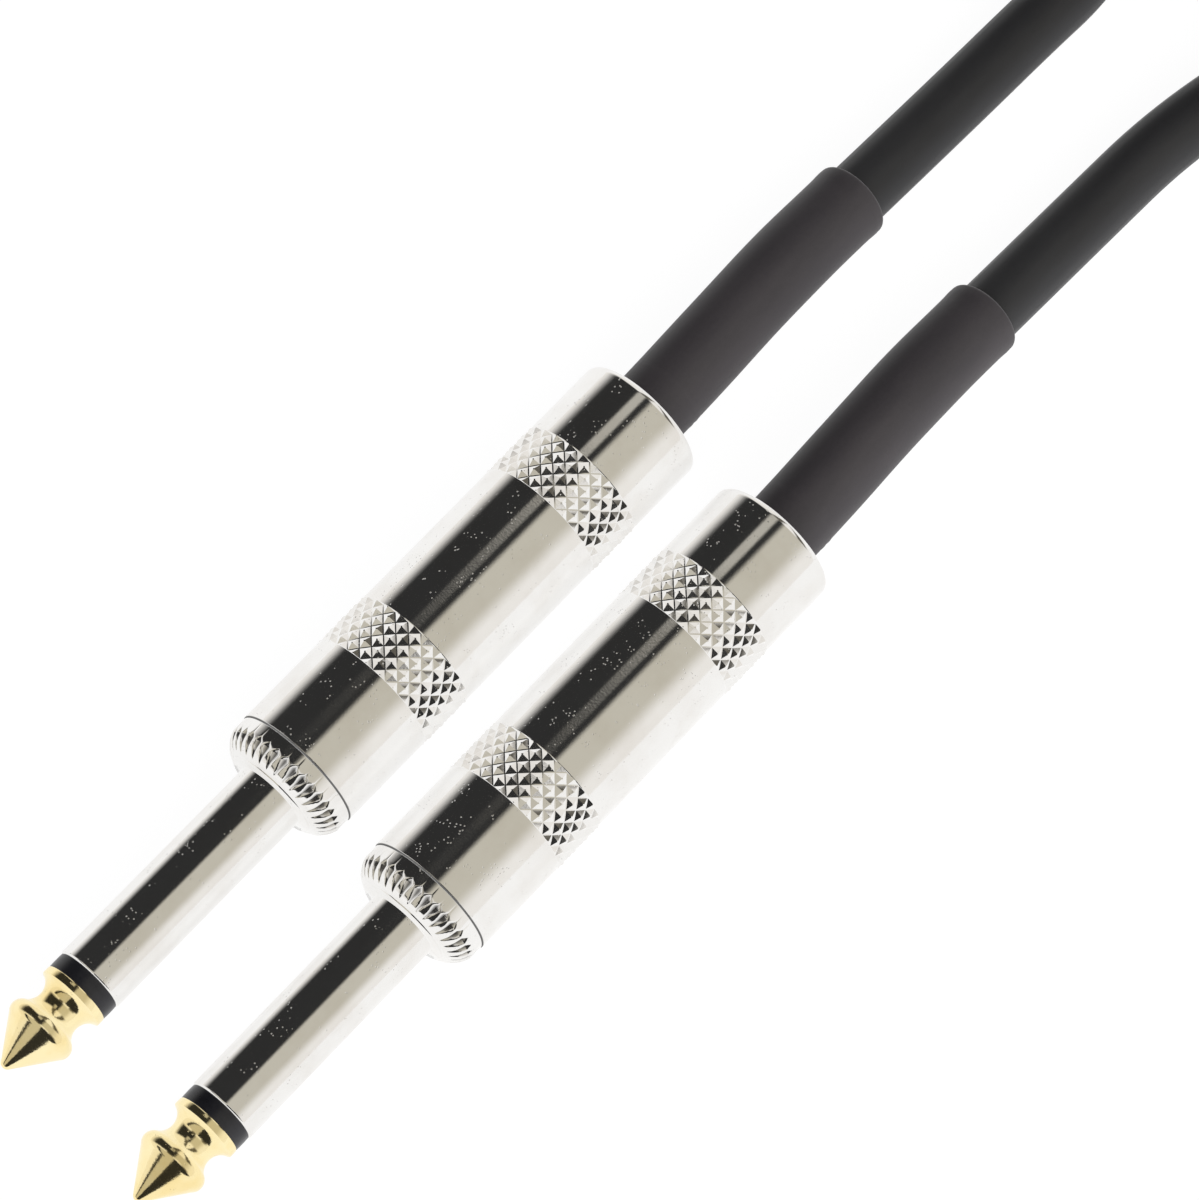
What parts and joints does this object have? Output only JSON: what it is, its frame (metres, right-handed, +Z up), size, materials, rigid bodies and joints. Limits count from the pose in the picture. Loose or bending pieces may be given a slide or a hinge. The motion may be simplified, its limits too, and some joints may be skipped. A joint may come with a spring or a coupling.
{
  "type": "instrument cable",
  "caption": "Instrument cable with two straight quarter-inch mono plugs, knurled screw-on barrels, heat-shrunk strain reliefs and its spare length in a tied oblong hank.",
  "frame": {"origin": "on the resting surface, under the middle of the box of both plugs and strain reliefs", "axes": "+X along the plugs, from their tips towards the cable; +Y from plug b towards plug a; +Z up"},
  "size_m": [0.2829, 0.0547, 0.0315],
  "materials": {
    "nickel": "bright nickel plate",
    "gilt": "bright gold plate",
    "black_plastic": "smooth black",
    "white_plastic": "smooth off-white",
    "heat_shrink": "matt charcoal, faintly wrinkled",
    "cable_jacket": "matt black with a soft sheen",
    "tinned": "tin plate",
    "fibre": "red-brown fibre",
    "copper": "bare copper strands",
    "solder": "smooth solder",
    "liner_film": "thin clear-grey film",
    "strap": "woven black hook-and-loop"
  },
  "bodies": {
    "cable": {"tip_a": "gilt", "tip_insulator_a": "black_plastic", "rod_insulator_a": "white_plastic", "shaft_sleeve_a": "nickel", "collar_a": "nickel", "ground_terminal_a": "tinned", "insulating_washer_a": "fibre", "tip_lug_a": "tinned", "core_conductor_a": "copper", "core_insulation_a": "white_plastic", "cable_shield_a": "copper", "shield_pigtail_a": "copper", "jacket_end_a": "cable_jacket", "tip_solder_a": "solder", "ground_solder_a": "solder", "strain_relief_a": "heat_shrink", "tip_b": "gilt", "tip_insulator_b": "black_plastic", "rod_insulator_b": "white_plastic", "shaft_sleeve_b": "nickel", "collar_b": "nickel", "ground_terminal_b": "tinned", "insulating_washer_b": "fibre", "tip_lug_b": "tinned", "core_conductor_b": "copper", "core_insulation_b": "white_plastic", "cable_shield_b": "copper", "shield_pigtail_b": "copper", "jacket_end_b": "cable_jacket", "tip_solder_b": "solder", "ground_solder_b": "solder", "strain_relief_b": "heat_shrink", "lead_a": "cable_jacket", "lead_b": "cable_jacket", "hank": "cable_jacket", "tie": "strap"},
    "liner_a": {"liner_a": "liner_film"},
    "barrel_a": {"barrel_a": "nickel"},
    "liner_b": {"liner_b": "liner_film"},
    "barrel_b": {"barrel_b": "nickel"}
  },
  "joints": [
    {"name": "thread_travel_a", "type": "slide", "parent": "cable", "child": "liner_a", "axis": [1, 0, 0], "range_m": [0, 0.005]},
    {"name": "barrel_turn_a", "type": "hinge", "parent": "liner_a", "child": "barrel_a", "pos_m": [-0.01677, 0.00775, 0.0061], "axis": [1, 0, 0], "range_deg": [0, 1800]},
    {"name": "thread_travel_b", "type": "slide", "parent": "cable", "child": "liner_b", "axis": [1, 0, 0], "range_m": [0, 0.005]},
    {"name": "barrel_turn_b", "type": "hinge", "parent": "liner_b", "child": "barrel_b", "pos_m": [-0.01762, -0.00775, 0.0061], "axis": [1, 0, 0], "range_deg": [0, 1800]}
  ],
  "couplings": [
    {"joint": "thread_travel_a", "follows": "barrel_turn_a", "m_per_rad": 0.00015915},
    {"joint": "thread_travel_b", "follows": "barrel_turn_b", "m_per_rad": 0.00015915}
  ]
}
